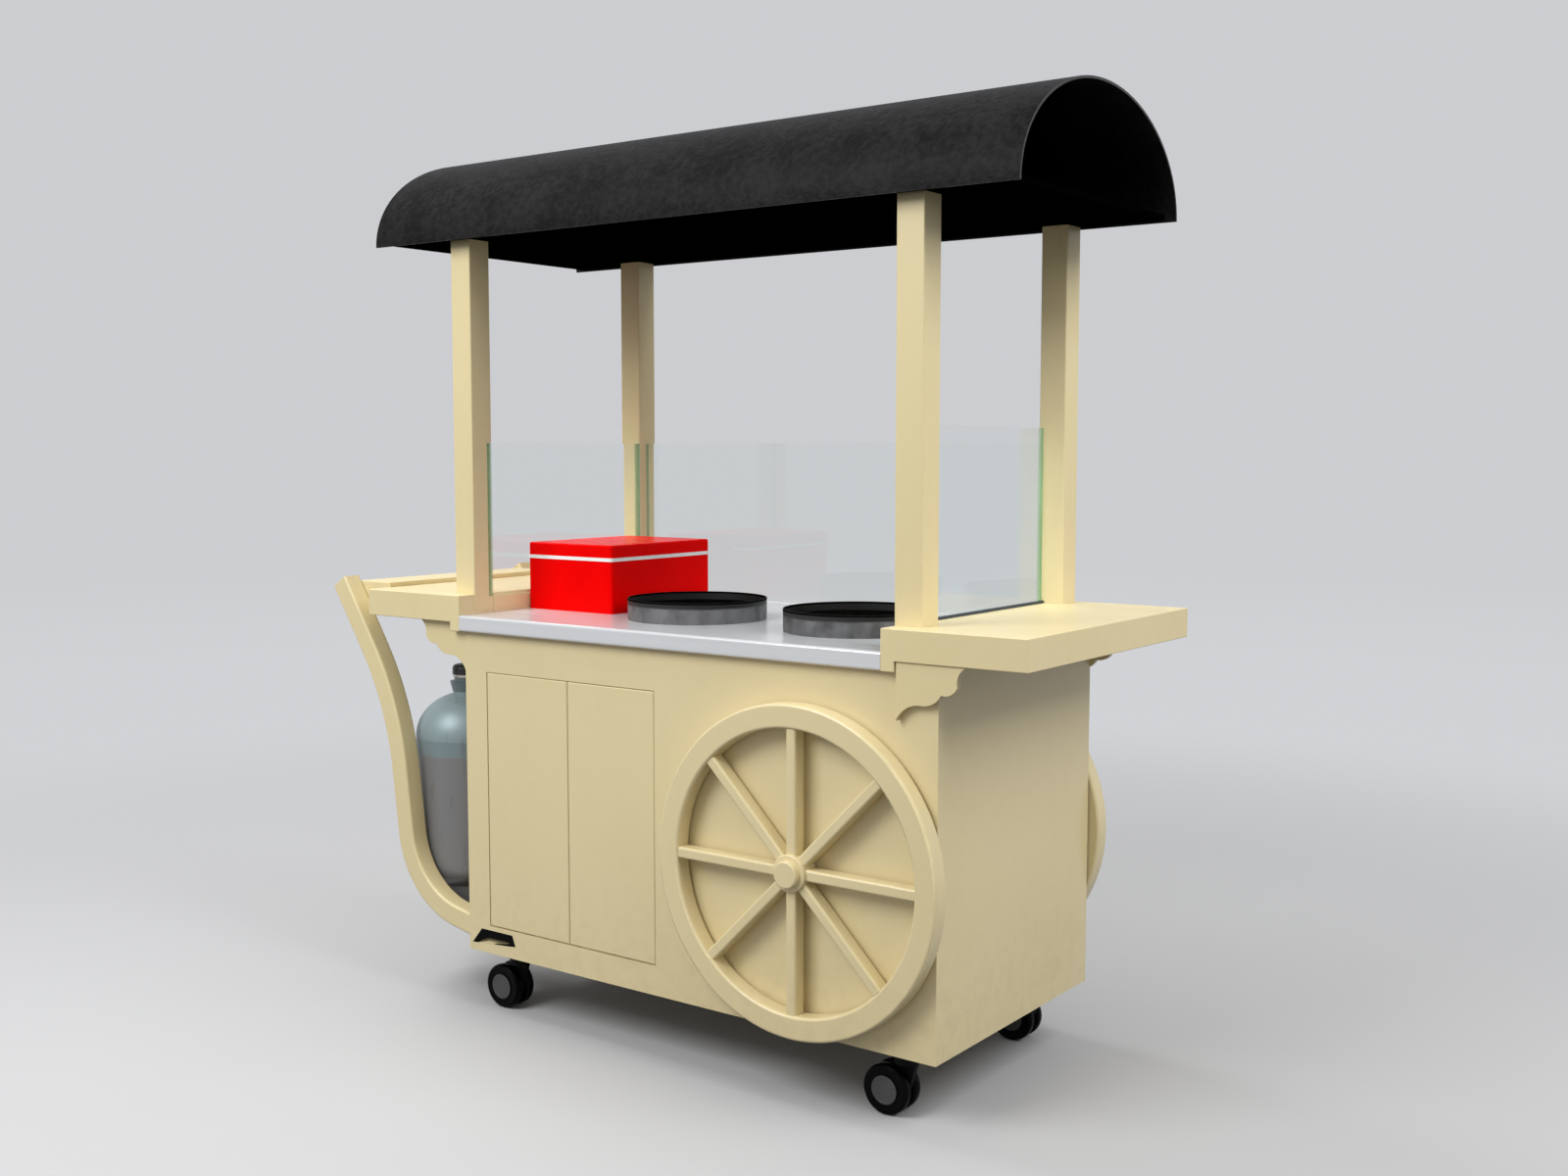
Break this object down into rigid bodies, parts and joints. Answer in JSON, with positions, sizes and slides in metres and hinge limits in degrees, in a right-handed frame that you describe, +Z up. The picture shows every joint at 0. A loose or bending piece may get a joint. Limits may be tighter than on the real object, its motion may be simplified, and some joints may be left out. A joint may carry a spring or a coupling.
{
  "type": "pancake cart",
  "caption": "Cream street food cart with cupboard, swivel casters, spoked side wheels, side shelves, shafts, glass screens, griddles, cool box, gas cylinder and a vaulted black canopy.",
  "frame": {"origin": "on the floor, under the middle of the cart's outer box", "axes": "+X along the cart from the shafts to the free shelf, +Y from the front with the doors to the back, +Z up"},
  "size_m": [1.88, 0.74, 1.9559],
  "materials": {
    "cream_paint": "cream satin paint on board and solid wood",
    "core_board": "bare plywood",
    "worktop_steel": "brushed along the worktop",
    "canopy_skin": "black sheet with a fine leather grain",
    "canopy_black_board": "flat black paint",
    "screen_glass": "clear, polished green edges",
    "black_steel": "black satin paint",
    "cylinder_paint": "grey paint with a blue-grey shoulder",
    "valve_metal": "dull plated brass",
    "black_plastic": "moulded black",
    "plain_steel": "zinc plated",
    "caster_grey": "moulded dark grey",
    "caster_black": "black tyre with a grey hub disc",
    "red_plastic": "glossy red",
    "white_plastic": "white seal",
    "griddle_steel": "darkened by heat",
    "griddle_iron": "seasoned black",
    "manifold_brass": "plain"
  },
  "bodies": {
    "cart": {"front_panel": "cream_paint", "back_panel": "cream_paint", "left_end_panel": "cream_paint", "right_end_panel": "cream_paint", "floor_board": "cream_paint", "partition": "cream_paint", "inner_shelf": "cream_paint", "left_shelf": "cream_paint", "right_shelf": "cream_paint", "corbels": "cream_paint", "front_left_post": "cream_paint", "front_right_post": "cream_paint", "back_left_post": "cream_paint", "back_right_post": "cream_paint", "front_shaft": "cream_paint", "back_shaft": "cream_paint", "push_bar": "cream_paint", "worktop_board": "core_board", "worktop_sheet": "worktop_steel", "canopy_sheet": "canopy_skin", "canopy_soffit": "canopy_black_board", "canopy_formers": "canopy_black_board", "left_glass": "screen_glass", "right_glass": "screen_glass", "back_glass": "screen_glass", "cylinder_tray": "black_steel", "gas_cylinder": "cylinder_paint", "cylinder_valve": "valve_metal", "vent_hood": "black_plastic", "door_pivots": "plain_steel", "caster_plates": "plain_steel", "wheel_axles": "plain_steel", "cool_box_hinge_pin": "plain_steel", "cool_box_body": "red_plastic", "cool_box_seal": "white_plastic", "griddle_rings": "griddle_steel", "griddle_plates": "griddle_iron", "burners": "griddle_iron", "gas_manifold": "manifold_brass"},
    "left_door": {"left_door": "cream_paint"},
    "right_door": {"right_door": "cream_paint"},
    "front_left_caster_swivel": {"front_left_caster_yoke": "caster_grey"},
    "front_left_caster_roller": {"front_left_caster_wheels": "caster_black"},
    "front_right_caster_swivel": {"front_right_caster_yoke": "caster_grey"},
    "front_right_caster_roller": {"front_right_caster_wheels": "caster_black"},
    "back_left_caster_swivel": {"back_left_caster_yoke": "caster_grey"},
    "back_left_caster_roller": {"back_left_caster_wheels": "caster_black"},
    "back_right_caster_swivel": {"back_right_caster_yoke": "caster_grey"},
    "back_right_caster_roller": {"back_right_caster_wheels": "caster_black"},
    "front_wheel": {"front_wheel_rim": "cream_paint", "front_wheel_spokes": "cream_paint", "front_wheel_hub": "cream_paint"},
    "back_wheel": {"back_wheel_rim": "cream_paint", "back_wheel_spokes": "cream_paint", "back_wheel_hub": "cream_paint"},
    "cool_box_lid": {"cool_box_lid": "red_plastic"},
    "valve_handwheel": {"valve_handwheel": "black_plastic"},
    "tap_knob_1": {"tap_knob_1": "black_plastic"},
    "tap_knob_2": {"tap_knob_2": "black_plastic"}
  },
  "joints": [
    {"name": "left_door_hinge", "type": "hinge", "parent": "cart", "child": "left_door", "pos_m": [-0.4085, -0.304, 0.487], "axis": [0, 0, -1], "range_deg": [0, 110]},
    {"name": "right_door_hinge", "type": "hinge", "parent": "cart", "child": "right_door", "pos_m": [0.0615, -0.304, 0.487], "axis": [0, 0, 1], "range_deg": [0, 110]},
    {"name": "front_left_caster_turn", "type": "hinge", "parent": "cart", "child": "front_left_caster_swivel", "pos_m": [-0.385, -0.25, 0.12], "axis": [0, 0, 1], "continuous": true},
    {"name": "front_left_caster_roll", "type": "hinge", "parent": "front_left_caster_swivel", "child": "front_left_caster_roller", "pos_m": [-0.418, -0.25, 0.05], "axis": [0, 1, 0], "continuous": true},
    {"name": "front_right_caster_turn", "type": "hinge", "parent": "cart", "child": "front_right_caster_swivel", "pos_m": [0.65, -0.25, 0.12], "axis": [0, 0, 1], "continuous": true},
    {"name": "front_right_caster_roll", "type": "hinge", "parent": "front_right_caster_swivel", "child": "front_right_caster_roller", "pos_m": [0.617, -0.25, 0.05], "axis": [0, 1, 0], "continuous": true},
    {"name": "back_left_caster_turn", "type": "hinge", "parent": "cart", "child": "back_left_caster_swivel", "pos_m": [-0.385, 0.25, 0.12], "axis": [0, 0, 1], "continuous": true},
    {"name": "back_left_caster_roll", "type": "hinge", "parent": "back_left_caster_swivel", "child": "back_left_caster_roller", "pos_m": [-0.418, 0.25, 0.05], "axis": [0, 1, 0], "continuous": true},
    {"name": "back_right_caster_turn", "type": "hinge", "parent": "cart", "child": "back_right_caster_swivel", "pos_m": [0.65, 0.25, 0.12], "axis": [0, 0, 1], "continuous": true},
    {"name": "back_right_caster_roll", "type": "hinge", "parent": "back_right_caster_swivel", "child": "back_right_caster_roller", "pos_m": [0.617, 0.25, 0.05], "axis": [0, 1, 0], "continuous": true},
    {"name": "front_wheel_spin", "type": "hinge", "parent": "cart", "child": "front_wheel", "pos_m": [0.447, -0.335, 0.461], "axis": [0, 1, 0], "continuous": true},
    {"name": "back_wheel_spin", "type": "hinge", "parent": "cart", "child": "back_wheel", "pos_m": [0.447, 0.335, 0.461], "axis": [0, 1, 0], "continuous": true},
    {"name": "cool_box_lid_hinge", "type": "hinge", "parent": "cart", "child": "cool_box_lid", "pos_m": [-0.3515, 0.247, 1.022], "axis": [-1, 0, 0], "range_deg": [0, 90]},
    {"name": "valve_turn", "type": "hinge", "parent": "cart", "child": "valve_handwheel", "pos_m": [-0.67, -0.135, 0.74], "axis": [0, 0, 1], "range_deg": [0, 540]},
    {"name": "tap_1_turn", "type": "hinge", "parent": "cart", "child": "tap_knob_1", "pos_m": [-0.155, -0.25, 0.81], "axis": [0, -1, 0], "range_deg": [0, 90]},
    {"name": "tap_2_turn", "type": "hinge", "parent": "cart", "child": "tap_knob_2", "pos_m": [-0.285, -0.25, 0.81], "axis": [0, -1, 0], "range_deg": [0, 90]}
  ]
}
